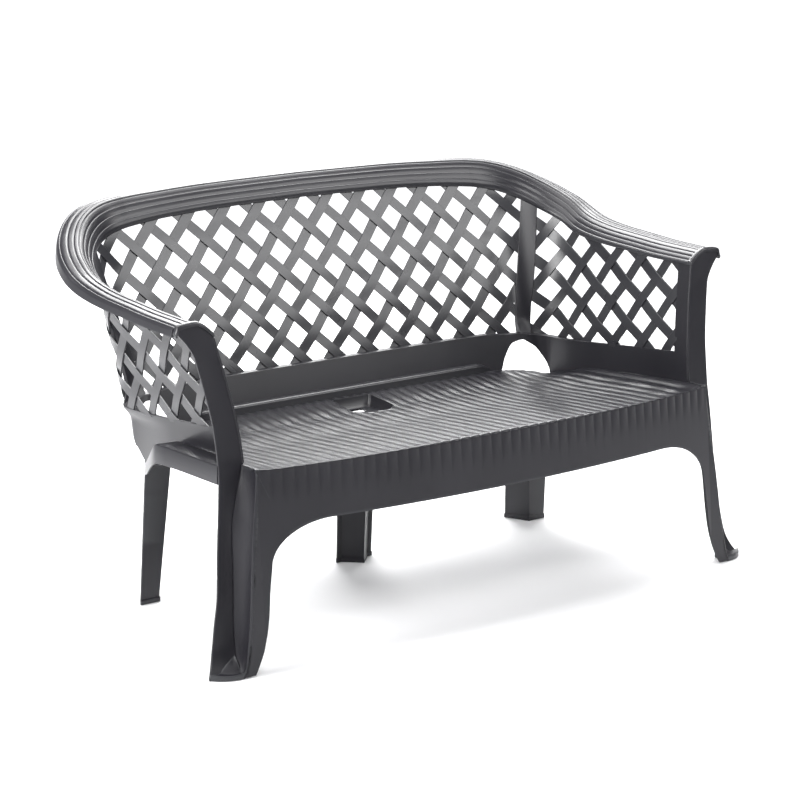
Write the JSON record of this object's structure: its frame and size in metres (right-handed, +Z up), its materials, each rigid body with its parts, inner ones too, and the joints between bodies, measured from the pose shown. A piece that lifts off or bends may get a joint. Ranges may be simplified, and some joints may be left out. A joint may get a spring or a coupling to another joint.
{
  "type": "garden bench",
  "caption": "Garden bench moulded in one piece of dark resin, with a fluted bowed seat, a lattice back and arms under one ridged rail, and flared legs.",
  "frame": {"origin": "on the floor, under the middle of the bounding box", "axes": "+X along the bench's length, +Y towards its back, +Z up"},
  "size_m": [1.4132, 0.7872, 0.8332],
  "materials": {
    "resin_seat": "satin moulded polypropylene, fluted",
    "resin_lattice": "satin moulded polypropylene",
    "resin_rail": "satin moulded polypropylene, ridged",
    "resin_legs": "satin moulded polypropylene, fine grain",
    "resin_panels": "satin moulded polypropylene"
  },
  "bodies": {
    "root": {"arm_band_left": "resin_panels", "arm_band_right": "resin_panels", "arm_cap_left": "resin_rail", "arm_cap_right": "resin_rail", "arm_post_left": "resin_legs", "arm_post_right": "resin_legs", "arm_rail_left": "resin_rail", "arm_rail_right": "resin_rail", "arm_slats_falling_left": "resin_lattice", "arm_slats_falling_right": "resin_lattice", "arm_slats_rising_left": "resin_lattice", "arm_slats_rising_right": "resin_lattice", "arm_stile_left": "resin_panels", "arm_stile_right": "resin_panels", "back_band": "resin_panels", "back_slats_falling": "resin_lattice", "back_slats_rising": "resin_lattice", "corner_post_left": "resin_panels", "corner_post_right": "resin_panels", "corner_wall_left": "resin_panels", "corner_wall_right": "resin_panels", "front_apron": "resin_seat", "front_leg_left": "resin_legs", "front_leg_right": "resin_legs", "front_toe_left": "resin_legs", "front_toe_right": "resin_legs", "leg_return_left": "resin_legs", "leg_return_right": "resin_legs", "rail_corner_left": "resin_rail", "rail_corner_right": "resin_rail", "rear_leg_left": "resin_legs", "rear_leg_middle": "resin_legs", "rear_leg_right": "resin_legs", "rear_skirt": "resin_panels", "seat_back_ledge": "resin_seat", "seat_panel": "resin_seat", "seat_ribs_cross": "resin_seat", "seat_ribs_long": "resin_seat", "seat_socket": "resin_seat", "side_skirt_left": "resin_panels", "side_skirt_right": "resin_panels", "top_rail": "resin_rail"}
  },
  "joints": []
}
